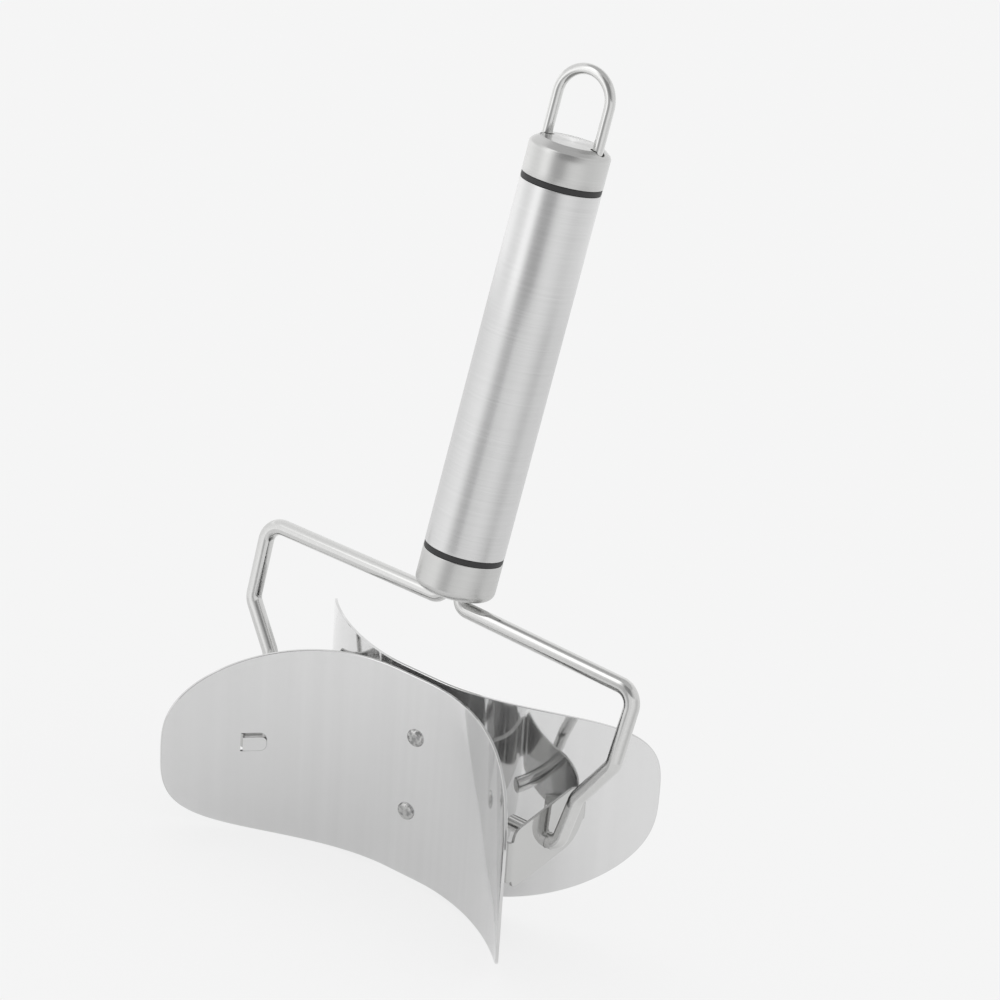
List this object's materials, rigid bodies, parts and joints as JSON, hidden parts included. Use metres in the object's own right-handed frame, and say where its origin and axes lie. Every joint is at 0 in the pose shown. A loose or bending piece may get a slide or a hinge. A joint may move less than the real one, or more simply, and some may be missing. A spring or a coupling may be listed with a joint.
{
  "type": "rolling cookie cutter",
  "caption": "Hand-held rolling cookie cutter: back-to-back bowed blades spin between bent wire arms on a tube handle with a hanging loop.",
  "frame": {"origin": "on the handle's axis at the middle of the grip tube", "axes": "+Z along the handle towards the hanging loop, X along the head's axle, Y across the two blades"},
  "size_m": [0.1269, 0.0764, 0.232],
  "materials": {
    "brushed_tube": "brushed stainless steel, fine lines round the tube",
    "satin_steel": "satin stainless steel",
    "polished_wire": "polished stainless steel wire",
    "polished_sheet": "polished stainless steel sheet",
    "black_ring": "matt black"
  },
  "bodies": {
    "handle": {"handle_tube": "brushed_tube", "front_ferrule": "satin_steel", "front_ring": "black_ring", "rear_ring": "black_ring", "end_cap": "satin_steel", "cap_disc": "satin_steel", "hanging_loop": "polished_wire", "left_arm": "polished_wire", "right_arm": "polished_wire"},
    "head": {"front_blade": "polished_sheet", "rear_blade": "polished_sheet", "left_bracket": "polished_sheet", "right_bracket": "polished_sheet", "waist_rivets": "polished_wire"}
  },
  "joints": [
    {"name": "head_roll", "type": "hinge", "parent": "handle", "child": "head", "pos_m": [0, 0, -0.11587], "axis": [1, 0, 0], "continuous": true}
  ]
}
